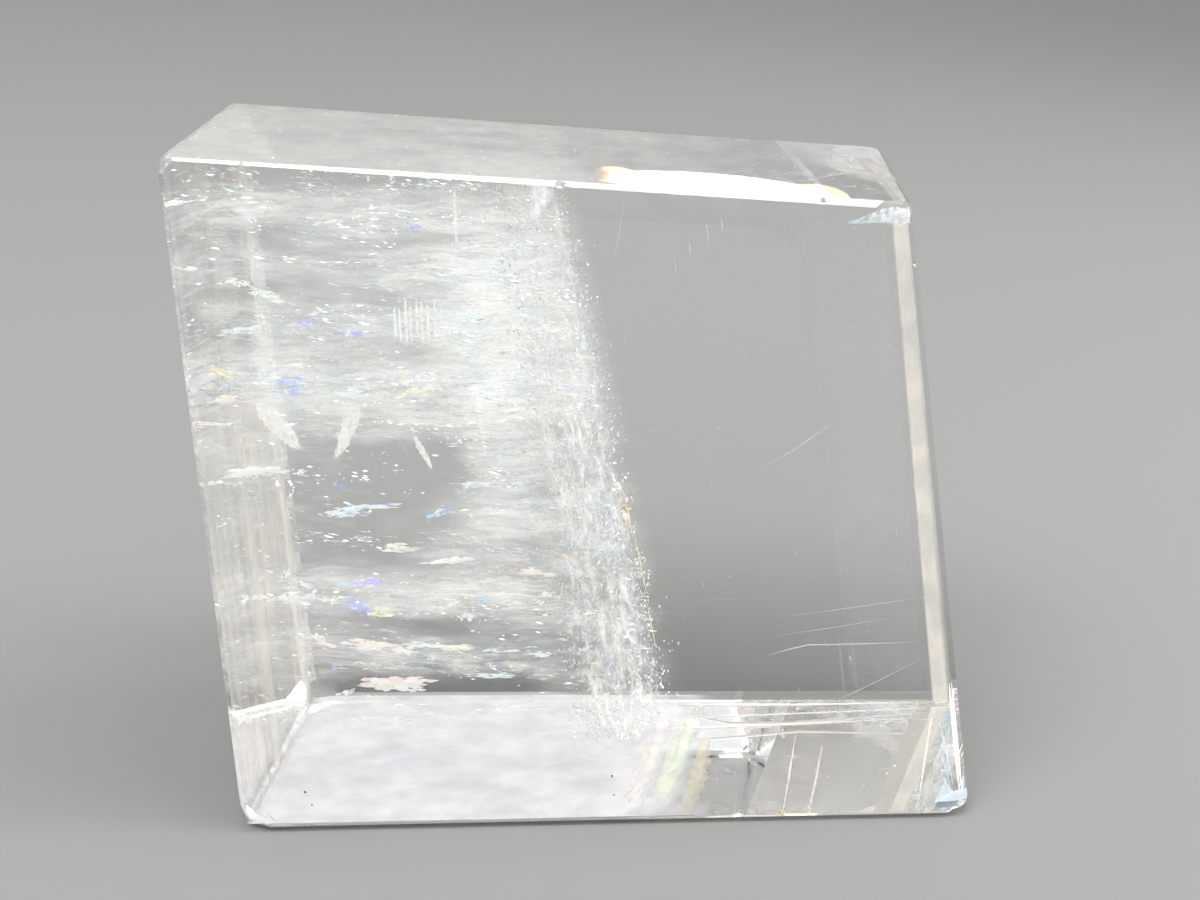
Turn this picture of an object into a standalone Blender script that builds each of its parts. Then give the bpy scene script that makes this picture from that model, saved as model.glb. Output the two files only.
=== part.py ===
"""A clear calcite rhombohedron, cleaved from one crystal and polished by hand.

Metres, +Z up. It stands on z = 0 on one of its long narrow faces, with the middle of its box over
the origin. Its longest edges run along X and its front face looks towards -Y and a little up.
"""

import math

import bmesh
import bpy
from mathutils import Matrix, Vector

# Edge lengths, between the points where the faces would meet if their edges were sharp.
LONG_EDGE = 0.0600
RISING_EDGE = 0.0512
DEEP_EDGE = 0.0248

# Angles between those edges, in degrees. Calcite cleaves into faces whose corners measure 78.1
# and 101.9 degrees, and polishing has moved these up to three degrees from that.
LONG_TO_DEEP = 76.2
LONG_TO_RISING = 98.7
DEEP_TO_RISING = 74.9

# Every edge is ground to a narrow facet. Its width is given at the edge's two ends: left then
# right, near then far, or lower then upper.
EDGE_FACETS = {
    ("front", "top"): (0.00035, 0.00085),
    ("front", "bottom"): (0.00050, 0.00045),
    ("back", "top"): (0.00040, 0.00050),
    ("back", "bottom"): (0.00080, 0.00095),
    ("left", "top"): (0.00045, 0.00035),
    ("right", "top"): (0.00060, 0.00035),
    ("left", "bottom"): (0.00055, 0.00065),
    ("right", "bottom"): (0.00065, 0.00055),
    ("front", "left"): (0.00055, 0.00040),
    ("front", "right"): (0.00095, 0.00080),
    ("back", "left"): (0.00110, 0.00090),
    ("back", "right"): (0.00130, 0.00070),
}

# Every corner is rounded. The number is the radius of the ball that the corner is worn down to.
CORNER_RADII = {
    ("front", "left", "top"): 0.0008,
    ("front", "right", "top"): 0.0008,
    ("front", "left", "bottom"): 0.0011,
    ("front", "right", "bottom"): 0.0011,
    ("back", "left", "top"): 0.0006,
    ("back", "right", "top"): 0.0007,
    ("back", "left", "bottom"): 0.0015,
    ("back", "right", "bottom"): 0.0010,
}
ROUNDING_STEPS = 5

# Larger flats ground across two corners: how far each reaches along the corner's long, deep and
# rising edges.
CORNER_FLATS = {
    ("front", "right", "top"): (0.0046, 0.0011, 0.0017),
    ("back", "left", "bottom"): (0.0030, 0.0016, 0.0022),
}

# Small flakes lost from the edges: the two faces that meet there, the place along the edge (0 to
# 1, in the same sense as the widths above), the flake's length along the edge, its depth, and how
# far it leans towards the first face (-1 to 1).
FLAKES = (
    (("front", "top"), 0.105, 0.00040, 0.00012, 0.5),
    (("front", "top"), 0.512, 0.00130, 0.00012, 0.7),
    (("front", "top"), 0.874, 0.00070, 0.00010, -0.4),
    (("right", "top"), 0.420, 0.00110, 0.00012, -0.6),
    (("right", "top"), 0.710, 0.00060, 0.00010, 0.2),
    (("front", "right"), 0.905, 0.00080, 0.00012, -0.5),
    (("front", "left"), 0.560, 0.00060, 0.00010, 0.3),
    (("front", "bottom"), 0.660, 0.00110, 0.00013, 0.6),
    (("left", "top"), 0.300, 0.00060, 0.00010, -0.3),
    (("back", "top"), 0.180, 0.00140, 0.00015, 0.6),
    (("back", "top"), 0.760, 0.00240, 0.00018, 0.8),
    (("back", "left"), 0.350, 0.00180, 0.00017, 0.7),
    (("back", "right"), 0.640, 0.00120, 0.00014, -0.6),
    (("back", "bottom"), 0.470, 0.00160, 0.00015, 0.5),
)
FLAKE_WIDTH_SHARE = 0.3
FLAKE_SEGMENTS = 18
FLAKE_RINGS = 10

BASE_COLOR = (0.93, 0.94, 0.92, 1.0)
ROUGHNESS = 0.03
REFRACTIVE_INDEX = 1.63

# Points nearer than this are one point.
SAME_POINT = 1e-7


def clear_scene():
    for obj in list(bpy.data.objects):
        bpy.data.objects.remove(obj, do_unlink=True)


def edge_directions():
    """Unit vectors along the long, deep and rising edges, from the three angles between them."""
    long_deep = math.cos(math.radians(LONG_TO_DEEP))
    long_rising = math.cos(math.radians(LONG_TO_RISING))
    deep_rising = math.cos(math.radians(DEEP_TO_RISING))
    deep_y = math.sqrt(1.0 - long_deep**2)
    rising_y = (deep_rising - long_rising * long_deep) / deep_y
    rising_z = math.sqrt(1.0 - long_rising**2 - rising_y**2)
    return (
        Vector((1.0, 0.0, 0.0)),
        Vector((long_deep, deep_y, 0.0)),
        Vector((long_rising, rising_y, rising_z)),
    )


def main_faces():
    """Each main face's outward normal and its distance from the crystal's centre."""
    along, deep, rising = edge_directions()
    sideways = deep.cross(rising).normalized()
    backwards = rising.cross(along).normalized()
    upwards = along.cross(deep).normalized()
    faces = {}
    for low, high, normal, edge in (
        ("left", "right", sideways, LONG_EDGE * along),
        ("front", "back", backwards, DEEP_EDGE * deep),
        ("bottom", "top", upwards, RISING_EDGE * rising),
    ):
        half = edge.dot(normal) / 2.0
        faces[low] = (-normal, half)
        faces[high] = (normal, half)
    return faces


def meeting_point(faces, names, inset=0.0):
    """The sharp corner where three main faces meet, or would meet if they were set in."""
    normals = Matrix([faces[name][0] for name in names])
    return normals.inverted() @ Vector([faces[name][1] - inset for name in names])


def edge_ends(faces, pair):
    """The two sharp corners of an edge: left then right, near then far, or lower then upper."""
    low_high = (("left", "right"), ("front", "back"), ("bottom", "top"))
    ends = next(names for names in low_high if not set(names) & set(pair))
    return [meeting_point(faces, (*pair, end)) for end in ends]


def edge_facet(faces, pair, widths):
    """A point and the outward normal of the facet that replaces an edge."""
    start, finish = edge_ends(faces, pair)
    first, second = (faces[name][0] for name in pair)
    into_first = (first.dot(second) * first - second).normalized()
    into_second = (first.dot(second) * second - first).normalized()
    half_angle = into_first.angle(into_second) / 2.0
    setbacks = [width / (2.0 * math.sin(half_angle)) for width in widths]
    corner = start + setbacks[0] * into_first
    across = into_second - into_first
    lengthways = finish - start + (setbacks[1] - setbacks[0]) * into_first
    normal = across.cross(lengthways).normalized()
    if normal.dot(first + second) < 0:
        normal.negate()
    return corner, normal


def corner_flat(faces, names, reaches):
    """A point and the outward normal of a flat that cuts the corner's three edges."""
    corner = meeting_point(faces, names)
    points = []
    for direction, reach, high_end in zip(edge_directions(), reaches, ("right", "back", "top")):
        inwards = -1.0 if high_end in names else 1.0
        points.append(corner + inwards * reach * direction)
    normal = (points[1] - points[0]).cross(points[2] - points[0]).normalized()
    if normal.dot(corner) < 0:
        normal.negate()
    return points[0], normal


def corner_rounding(faces, names, radius):
    """The small facets that wear a corner down to a ball touching its three faces."""
    centre = meeting_point(faces, names, inset=radius)
    normals = [faces[name][0] for name in names]
    for i in range(1, ROUNDING_STEPS - 1):
        for j in range(1, ROUNDING_STEPS - i):
            shares = (i, j, ROUNDING_STEPS - i - j)
            mixed = sum((share * normal for share, normal in zip(shares, normals)), Vector())
            normal = mixed.normalized()
            yield centre + radius * normal, normal


def cut_plane(mesh, point, normal):
    """Grinds away everything in front of the plane and closes the flat face that it leaves."""
    everything = mesh.verts[:] + mesh.edges[:] + mesh.faces[:]
    bmesh.ops.bisect_plane(
        mesh, geom=everything, dist=SAME_POINT, plane_co=point, plane_no=normal, clear_outer=True
    )
    bmesh.ops.remove_doubles(mesh, verts=mesh.verts[:], dist=SAME_POINT)
    rim = [edge for edge in mesh.edges if edge.is_boundary]
    if rim:
        bmesh.ops.edgeloop_fill(mesh, edges=rim)


def polished_block(faces):
    """The crystal's mesh: a rough block with its faces, edges and corners ground in turn."""
    mesh = bmesh.new()
    bmesh.ops.create_cube(mesh, size=4.0 * LONG_EDGE)
    for normal, distance in faces.values():
        cut_plane(mesh, distance * normal, normal)
    for pair, widths in EDGE_FACETS.items():
        cut_plane(mesh, *edge_facet(faces, pair, widths))
    for names, reaches in CORNER_FLATS.items():
        cut_plane(mesh, *corner_flat(faces, names, reaches))
    for names, radius in CORNER_RADII.items():
        for point, normal in corner_rounding(faces, names, radius):
            cut_plane(mesh, point, normal)
    bmesh.ops.recalc_face_normals(mesh, faces=mesh.faces[:])
    bmesh.ops.triangulate(mesh, faces=mesh.faces[:])
    return mesh


def calcite_material():
    material = bpy.data.materials.new("clear_calcite")
    material.use_nodes = True
    shader = material.node_tree.nodes["Principled BSDF"]
    shader.inputs["Base Color"].default_value = BASE_COLOR
    shader.inputs["Roughness"].default_value = ROUGHNESS
    shader.inputs["Metallic"].default_value = 0.0
    shader.inputs["IOR"].default_value = REFRACTIVE_INDEX
    shader.inputs["Transmission Weight"].default_value = 1.0
    return material


def add_object(name, mesh):
    data = bpy.data.meshes.new(name)
    mesh.to_mesh(data)
    mesh.free()
    obj = bpy.data.objects.new(name, data)
    bpy.context.scene.collection.objects.link(obj)
    return obj


def flake_cutter(faces, number, flake):
    """A flattened ball that dips into an edge from outside and leaves a shallow shell-shaped scar."""
    pair, place, length, depth, lean = flake
    start, finish = edge_ends(faces, pair)
    facet_point, outward = edge_facet(faces, pair, EDGE_FACETS[pair])
    sharp_point = start.lerp(finish, place)
    on_facet = sharp_point - (sharp_point - facet_point).dot(outward) * outward
    first, second = (faces[name][0] for name in pair)
    upright = (outward + lean * (first if lean > 0 else -second)).normalized()
    sideways = upright.cross(finish - start).normalized()
    forward = sideways.cross(upright)
    mesh = bmesh.new()
    bmesh.ops.create_uvsphere(mesh, u_segments=FLAKE_SEGMENTS, v_segments=FLAKE_RINGS, radius=1.0)
    bmesh.ops.triangulate(mesh, faces=mesh.faces[:])
    reach = length / 2.0
    shape = Matrix.Diagonal((reach, FLAKE_WIDTH_SHARE * length + depth, 2.0 * depth, 1.0))
    turn = Matrix((forward, sideways, upright)).transposed().to_4x4()
    place_it = Matrix.Translation(on_facet + depth * upright)
    bmesh.ops.transform(mesh, matrix=place_it @ turn @ shape, verts=mesh.verts[:])
    cutter = add_object(f"flake_{number:02d}", mesh)
    cutter.hide_render = True
    cutter.display_type = "WIRE"
    return cutter


def stand_on_floor(objects, crystal):
    """Puts the crystal's base on z = 0 and the middle of its box over the origin."""
    corners = [Vector(corner) for corner in crystal.bound_box]
    low = Vector([min(corner[axis] for corner in corners) for axis in range(3)])
    high = Vector([max(corner[axis] for corner in corners) for axis in range(3)])
    shift = Vector((-(low.x + high.x) / 2.0, -(low.y + high.y) / 2.0, -low.z))
    for obj in objects:
        obj.data.transform(Matrix.Translation(shift))


def build_crystal():
    faces = main_faces()
    crystal = add_object("calcite_crystal", polished_block(faces))
    crystal.data.materials.append(calcite_material())
    cutters = [flake_cutter(faces, number, flake) for number, flake in enumerate(FLAKES, start=1)]
    stand_on_floor([crystal, *cutters], crystal)
    # The exact solver leaves doubled edges on cuts this small, so the manifold solver makes them.
    for cutter in cutters:
        modifier = crystal.modifiers.new(cutter.name, "BOOLEAN")
        modifier.operation = "DIFFERENCE"
        modifier.solver = "MANIFOLD"
        modifier.object = cutter


clear_scene()
build_crystal()
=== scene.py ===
"""The looks of a clear calcite rhombohedron: its polished surface and everything that shows inside it.

Metres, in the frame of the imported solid. Places inside the crystal are given as shares of its
edges: along from left to right, deep from front to back, high from base to top. What the
photograph shows inside is placed by its pixel there, traced through the front face to a depth.
"""

import math

import bmesh
import bpy
import numpy as np
from mathutils import Matrix, Vector, noise


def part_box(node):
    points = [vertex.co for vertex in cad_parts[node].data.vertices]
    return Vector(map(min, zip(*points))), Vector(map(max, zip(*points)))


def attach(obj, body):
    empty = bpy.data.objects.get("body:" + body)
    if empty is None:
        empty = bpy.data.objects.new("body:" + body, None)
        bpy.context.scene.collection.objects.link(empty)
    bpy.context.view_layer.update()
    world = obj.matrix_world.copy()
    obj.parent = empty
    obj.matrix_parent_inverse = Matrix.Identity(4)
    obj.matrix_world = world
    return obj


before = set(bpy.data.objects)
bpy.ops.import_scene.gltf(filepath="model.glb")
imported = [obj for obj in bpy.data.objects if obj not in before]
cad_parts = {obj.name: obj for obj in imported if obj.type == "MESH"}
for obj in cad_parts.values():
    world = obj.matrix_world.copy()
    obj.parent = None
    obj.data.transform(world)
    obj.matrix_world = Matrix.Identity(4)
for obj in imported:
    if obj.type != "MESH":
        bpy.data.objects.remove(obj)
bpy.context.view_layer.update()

BODY = "root"
NODE = "calcite_crystal"

# The crystal's edges and the angles between them, as in the solid.
LONG_EDGE = 0.0600
RISING_EDGE = 0.0512
DEEP_EDGE = 0.0248
LONG_TO_DEEP = math.radians(76.2)
LONG_TO_RISING = math.radians(98.7)
DEEP_TO_RISING = math.radians(74.9)
CALCITE_IOR = 1.62

# The photograph's frame, its focal length in pixels, and where its camera stood, in long edges
# from the crystal's upper front left corner.
PHOTO_SIZE = (1200, 900)
PHOTO_FOCAL = 1800.0
CAMERA_FROM_CORNER = Vector((0.0367, -2.2601, 0.4923))
CAMERA_YAW = math.radians(14.13)
CAMERA_PITCH = math.radians(-20.32)
CAMERA_ROLL = math.radians(6.55)
SENSOR_WIDTH = 36.0
# The front face's left edge, from top to foot, and how far pieces stay from it, in pixels.
FRONT_LEFT_EDGE = ((154, 157), (241, 831))
LEFT_EDGE_GAP = 5.0
# How far from the faces pieces stay, and the least depth that they are moved to, in shares.
SURFACE_GAP = 0.006
LEAST_DEPTH = 0.01

MM = 0.001
CENTIMETRE = 0.01


# The crystal's own directions and points.

def edge_vectors():
    """The vectors along the long, deep and rising edges, at full length."""
    long_deep, long_rising = math.cos(LONG_TO_DEEP), math.cos(LONG_TO_RISING)
    deep_y = math.sin(LONG_TO_DEEP)
    rising_y = (math.cos(DEEP_TO_RISING) - long_rising * long_deep) / deep_y
    rising_z = math.sqrt(1.0 - long_rising**2 - rising_y**2)
    return (
        LONG_EDGE * Vector((1.0, 0.0, 0.0)),
        DEEP_EDGE * Vector((long_deep, deep_y, 0.0)),
        RISING_EDGE * Vector((long_rising, rising_y, rising_z)),
    )


ALONG, DEEP, HIGH = edge_vectors()
box_low, box_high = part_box(NODE)
CENTRE = (box_low + box_high) / 2.0
FRONT_NORMAL = ALONG.cross(HIGH).normalized()
TOP_NORMAL = ALONG.cross(DEEP).normalized()
TO_SHARES = Matrix((ALONG, DEEP, HIGH)).transposed().inverted()


def inside(along, deep, high):
    """The point at these shares of the crystal's edges."""
    return CENTRE + (along - 0.5) * ALONG + (deep - 0.5) * DEEP + (high - 0.5) * HIGH


def shares_of(point):
    """The shares of the three edges at a point."""
    return TO_SHARES @ (point - CENTRE) + Vector((0.5, 0.5, 0.5))


def is_inside(point, margin=0.012):
    return all(margin < share < 1.0 - margin for share in shares_of(point))


# The camera, and what it sees through the front face.

def camera_axes():
    """The camera's right, up and forward directions."""
    forward = Vector((
        math.sin(CAMERA_YAW) * math.cos(CAMERA_PITCH),
        math.cos(CAMERA_YAW) * math.cos(CAMERA_PITCH),
        math.sin(CAMERA_PITCH),
    ))
    level = forward.cross(Vector((0.0, 0.0, 1.0))).normalized()
    upright = level.cross(forward)
    right = math.cos(CAMERA_ROLL) * level + math.sin(CAMERA_ROLL) * upright
    return right, right.cross(forward), forward


CAMERA_RIGHT, CAMERA_UP, CAMERA_FORWARD = camera_axes()
CAMERA_SPOT = inside(0.0, 0.0, 1.0) + LONG_EDGE * CAMERA_FROM_CORNER


def pixel_ray(pixel):
    x = (pixel[0] - PHOTO_SIZE[0] / 2.0) / PHOTO_FOCAL
    y = (pixel[1] - PHOTO_SIZE[1] / 2.0) / PHOTO_FOCAL
    return (CAMERA_FORWARD + x * CAMERA_RIGHT - y * CAMERA_UP).normalized()


def where_ray_meets(start, ray, point, normal):
    """Where a ray meets the plane through a point."""
    return start + (point - start).dot(normal) / ray.dot(normal) * ray


def sight_inside(pixel):
    """Where a pixel's ray enters the front face, and its direction inside."""
    ray = pixel_ray(pixel)
    facing = -ray.dot(FRONT_NORMAL)
    bent = math.sqrt(1.0 - (1.0 - facing**2) / CALCITE_IOR**2)
    refracted = ray / CALCITE_IOR + (facing / CALCITE_IOR - bent) * FRONT_NORMAL
    return where_ray_meets(CAMERA_SPOT, ray, inside(0.0, 0.0, 0.0), FRONT_NORMAL), refracted


def seen_at(pixel, deep):
    """The point inside the crystal, at this share of its depth, that shows at a photograph's pixel."""
    entry, refracted = sight_inside(pixel)
    return where_ray_meets(entry, refracted, inside(0.0, deep, 0.0), FRONT_NORMAL)


def between(line, y):
    """Where a line of two pixels is at height y."""
    (x0, y0), (x1, y1) = line
    return x0 + (x1 - x0) * (y - y0) / (y1 - y0)


def seen_within(pixel, deep):
    """The same, but less deep where a side or the base comes first, and never past the left edge."""
    pixel = (max(pixel[0], between(FRONT_LEFT_EDGE, pixel[1]) + LEFT_EDGE_GAP), pixel[1])
    while not is_inside(seen_at(pixel, deep), SURFACE_GAP) and deep > LEAST_DEPTH:
        deep *= 0.93
    return seen_at(pixel, deep)


def seen_on_top(pixel, below=0.0):
    """The point of the top face, or so far below it, that shows at a photograph's pixel."""
    on_face = where_ray_meets(CAMERA_SPOT, pixel_ray(pixel), inside(0.0, 0.0, 1.0), TOP_NORMAL)
    return on_face - below * TOP_NORMAL


# Shader building.

def set_inputs(tree, node, values):
    """Give a node its input values; a value that is a socket is linked."""
    for name, value in values.items():
        if isinstance(value, bpy.types.NodeSocket):
            tree.links.new(value, node.inputs[name])
        else:
            node.inputs[name].default_value = value


def add_node(tree, kind, values=None, **settings):
    """A node with its settings and input values."""
    node = tree.nodes.new(kind)
    for name, value in settings.items():
        setattr(node, name, value)
    set_inputs(tree, node, values or {})
    return node


def math_node(tree, operation, first, second=0.0, clamp=False):
    values = {0: first, 1: second}
    return add_node(tree, "ShaderNodeMath", values, operation=operation, use_clamp=clamp).outputs[0]


def ramp_node(tree, factor, stops):
    """A colour ramp with (place, colour) stops."""
    ramp = add_node(tree, "ShaderNodeValToRGB", {"Fac": factor})
    elements = ramp.color_ramp.elements
    while len(elements) < len(stops):
        elements.new(0.5)
    for element, (place, color) in zip(elements, stops):
        element.position = place
        element.color = color
    return ramp.outputs["Color"]


def new_group(name, inputs, outputs):
    """A shader node group with these (name, kind, value) inputs and (name, kind) outputs."""
    tree = bpy.data.node_groups.new(name, "ShaderNodeTree")
    for socket_name, kind, value in inputs:
        socket = tree.interface.new_socket(socket_name, in_out="INPUT", socket_type=kind)
        socket.default_value = value
    for socket_name, kind in outputs:
        tree.interface.new_socket(socket_name, in_out="OUTPUT", socket_type=kind)
    return tree, tree.nodes.new("NodeGroupInput").outputs, tree.nodes.new("NodeGroupOutput").inputs


def use_group(tree, group, values):
    return add_node(tree, "ShaderNodeGroup", values, node_tree=group).outputs


FLOAT = "NodeSocketFloat"
VECTOR = "NodeSocketVector"
COLOR = "NodeSocketColor"


def wisp_group():
    """Wispy streaks that run along the pattern's first direction, from 0, clear, to 1, dense."""
    tree, given, out = new_group(
        "wisps",
        (("Pattern", VECTOR, (0, 0, 0)), ("Streak", VECTOR, (1, 8, 1)), ("Clear below", FLOAT, 0.4),
         ("Dense above", FLOAT, 0.7), ("Soft part", FLOAT, 0.25)),
        (("Wisps", FLOAT), ("Cloud", FLOAT)),
    )
    stretched = add_node(
        tree, "ShaderNodeVectorMath", {0: given["Pattern"], 1: given["Streak"]}, operation="MULTIPLY"
    ).outputs["Vector"]
    cloud = add_node(
        tree, "ShaderNodeTexNoise", {"Vector": given["Pattern"], "Scale": 2.2, "Detail": 1.0},
        noise_dimensions="2D",
    ).outputs["Fac"]
    bent = add_node(
        tree, "ShaderNodeVectorMath", {0: cloud, 1: (0.5, 1.6, 0.5), 2: stretched}, operation="MULTIPLY_ADD"
    ).outputs["Vector"]
    fine = add_node(
        tree, "ShaderNodeTexNoise", {"Vector": bent, "Scale": 1.0, "Detail": 5.0, "Roughness": 0.72},
        noise_dimensions="2D",
    ).outputs["Fac"]
    sharp = add_node(
        tree, "ShaderNodeMapRange",
        {"Value": fine, "From Min": given["Clear below"], "From Max": given["Dense above"]},
    ).outputs["Result"]
    soft = math_node(tree, "MULTIPLY", cloud, given["Soft part"])
    tree.links.new(math_node(tree, "ADD", sharp, soft, clamp=True), out["Wisps"])
    tree.links.new(cloud, out["Cloud"])
    return tree


def polish_group():
    """Fine polishing lines that cross the surface in one direction and come and go."""
    tree, given, out = new_group("polish_marks", (("Place", VECTOR, (0, 0, 0)),), (("Lines", FLOAT),))
    turned = add_node(tree, "ShaderNodeMapping", {
        "Vector": given["Place"], "Rotation": (0.3, 0.35, 0.2), "Scale": (50.0, 50.0, 2600.0),
    }).outputs["Vector"]
    lines = add_node(
        tree, "ShaderNodeTexNoise", {"Vector": turned, "Scale": 1.0, "Detail": 1.0}
    ).outputs["Fac"]
    sharp = add_node(tree, "ShaderNodeMapRange", {"Value": lines, "From Min": 0.68, "From Max": 0.78})
    tree.links.new(sharp.outputs["Result"], out["Lines"])
    return tree


def flash_color_group():
    """A flake's colour by its tint: pale blue, white, cream, pink, gold, orange, teal, blue, violet."""
    tree, given, out = new_group("flash_colour", (("Tint", FLOAT, 0.0),), (("Color", COLOR),))
    colors = ramp_node(tree, given["Tint"], (
        (0.00, (0.70, 0.84, 0.98, 1.0)),
        (0.06, (0.92, 0.94, 0.95, 1.0)),
        (0.16, (0.95, 0.93, 0.86, 1.0)),
        (0.30, (0.96, 0.82, 0.78, 1.0)),
        (0.42, (0.92, 0.93, 0.62, 1.0)),
        (0.54, (0.95, 0.68, 0.30, 1.0)),
        (0.68, (0.52, 0.84, 0.84, 1.0)),
        (0.84, (0.36, 0.46, 0.98, 1.0)),
        (1.00, (0.62, 0.48, 0.98, 1.0)),
    ))
    tree.links.new(colors, out["Color"])
    return tree


WISPS = wisp_group()
POLISH = polish_group()
FLASH_COLOR = flash_color_group()


def shader_material(name):
    material = bpy.data.materials.new(name)
    material.use_nodes = True
    return material, material.node_tree, material.node_tree.nodes["Principled BSDF"]


# Finishes.

def clear_calcite():
    """The crystal's own finish: clear, and a little rougher along faint polishing lines."""
    material, tree, shader = shader_material("polished_calcite")
    place = add_node(tree, "ShaderNodeTexCoord").outputs["Object"]
    marks = use_group(tree, POLISH, {"Place": place})
    rough = add_node(tree, "ShaderNodeMapRange", {"Value": marks["Lines"], "To Min": 0.012, "To Max": 0.2})
    set_inputs(tree, shader, {
        "Base Color": (0.955, 0.962, 0.950, 1.0), "IOR": CALCITE_IOR, "Transmission Weight": 1.0,
        "Roughness": rough.outputs["Result"],
    })
    return material


# Each veil's look: its streaks per centimetre along and across, where they turn clear and dense,
# how much soft cloud they have, their cool and warm colours, and how strongly they glow with painted light.
VEIL_LOOKS = {
    "silvery_veil": ((1.6, 15.0), 0.42, 0.70, 0.55, (0.88, 0.93, 0.96), (1.00, 0.97, 0.92), 0.32),
    "granular_milk": ((5.0, 5.0), 0.42, 0.66, 0.30, (0.92, 0.94, 0.95), (1.00, 0.97, 0.92), 0.26),
    "satin_blade": ((9.0, 34.0), 0.22, 0.66, 0.50, (0.93, 0.95, 0.95), (1.00, 0.97, 0.92), 0.34),
    "chipped_blade": ((14.0, 14.0), 0.38, 0.60, 0.45, (0.80, 0.86, 0.92), (0.97, 0.97, 0.96), 0.18),
    "pale_band": ((2.0, 0.12), -0.20, 1.0, 0.50, (0.82, 0.79, 0.73), (0.88, 0.82, 0.74), 0.26),
    "green_gleam": ((3.0, 1.0), -0.40, 1.30, 0.50, (0.80, 0.95, 0.84), (0.97, 0.97, 0.78), 0.26),
    "olive_gleam": ((3.0, 1.0), -0.40, 1.30, 0.50, (0.68, 0.67, 0.52), (0.78, 0.71, 0.56), 0.26),
    "rosy_gleam": ((3.0, 1.0), -0.40, 1.30, 0.50, (0.98, 0.90, 0.92), (0.98, 0.93, 0.84), 0.26),
    "milky_base": ((4.0, 5.0), -0.70, 1.60, 0.50, (0.92, 0.92, 0.96), (0.96, 0.94, 0.94), 0.20),
    "top_bloom": ((6.0, 6.0), -0.45, 1.35, 0.40, (0.70, 0.688, 0.662), (0.73, 0.705, 0.67), 0.03),
}


def veil_finish(name):
    """A see-through cleavage veil, dense where its cover and the wisps are, and glowing with painted light
    in its own tint.
    """
    streak, clear_below, dense_above, soft_part, cool, warm, glow = VEIL_LOOKS[name]
    material, tree, shader = shader_material(name)
    pattern = add_node(tree, "ShaderNodeUVMap", uv_map="pattern").outputs["UV"]
    cover = add_node(tree, "ShaderNodeAttribute", attribute_name="cover").outputs["Fac"]
    wisps = use_group(tree, WISPS, {
        "Pattern": pattern, "Streak": (*streak, 1.0), "Clear below": clear_below,
        "Dense above": dense_above, "Soft part": soft_part,
    })
    tint = ramp_node(tree, wisps["Cloud"], ((0.35, (*cool, 1.0)), (0.62, (*warm, 1.0))))
    # Painted light: the veil glows in its own tint, as strongly as its glow says.
    set_inputs(tree, shader, {
        "Base Color": tint, "Alpha": math_node(tree, "MULTIPLY", wisps["Wisps"], cover, clamp=True),
        "Emission Color": tint, "Emission Strength": glow, "Roughness": 0.55, "Specular IOR Level": 0.0,
    })
    return material


def flash_finish(name, roughness, metallic, glow):
    """A cleavage flake that flashes in the colour of its tint, and glows with painted light in that colour.
    """
    material, tree, shader = shader_material(name)
    tint = add_node(tree, "ShaderNodeAttribute", attribute_name="tint").outputs["Fac"]
    color = use_group(tree, FLASH_COLOR, {"Tint": tint})["Color"]
    # Painted light: the flake glows in its own colour, as strongly as glow says.
    set_inputs(tree, shader, {
        "Base Color": color, "Emission Color": color, "Emission Strength": glow,
        "Roughness": roughness, "Metallic": metallic,
    })
    return material


def speck_finish():
    """Rust-brown specks."""
    material, tree, shader = shader_material("rusty_speck")
    place = add_node(tree, "ShaderNodeTexCoord").outputs["Object"]
    grain = add_node(tree, "ShaderNodeTexNoise", {"Vector": place, "Scale": 4000.0}).outputs["Fac"]
    color = ramp_node(tree, grain, ((0.35, (0.10, 0.045, 0.018, 1.0)), (0.65, (0.42, 0.22, 0.08, 1.0))))
    set_inputs(tree, shader, {"Base Color": color, "Roughness": 0.8})
    return material


# Pieces.

def keep(piece):
    """A finished piece of the crystal's inside or surface. It casts no shadow of its own, because
    the light reaches it bent through the crystal's faces."""
    piece.visible_shadow = False
    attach(piece, BODY)
    return piece


def add_mesh_object(name, points, faces, material):
    mesh = bpy.data.meshes.new(name)
    mesh.from_pydata([tuple(point) for point in points], [], [tuple(face) for face in faces])
    mesh.update()
    obj = bpy.data.objects.new(name, mesh)
    bpy.context.scene.collection.objects.link(obj)
    mesh.materials.append(material)
    return obj


def settle(obj):
    """Turn what an object's modifiers make into its plain mesh."""
    depsgraph = bpy.context.evaluated_depsgraph_get()
    evaluated = obj.evaluated_get(depsgraph)
    mesh = bpy.data.meshes.new_from_object(evaluated, preserve_all_data_layers=True, depsgraph=depsgraph)
    obj.modifiers.clear()
    obj.data = mesh
    return obj


def thicken(obj, thickness):
    """Give flat plates their thickness."""
    solid = obj.modifiers.new("thickness", "SOLIDIFY")
    solid.thickness = thickness
    solid.offset = 0.0
    return settle(obj)


# A sheet is open where its cover is less than this, and how near the faces it goes, in shares.
LEAST_COVER = 0.004
SHEET_GAP = 0.003


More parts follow.
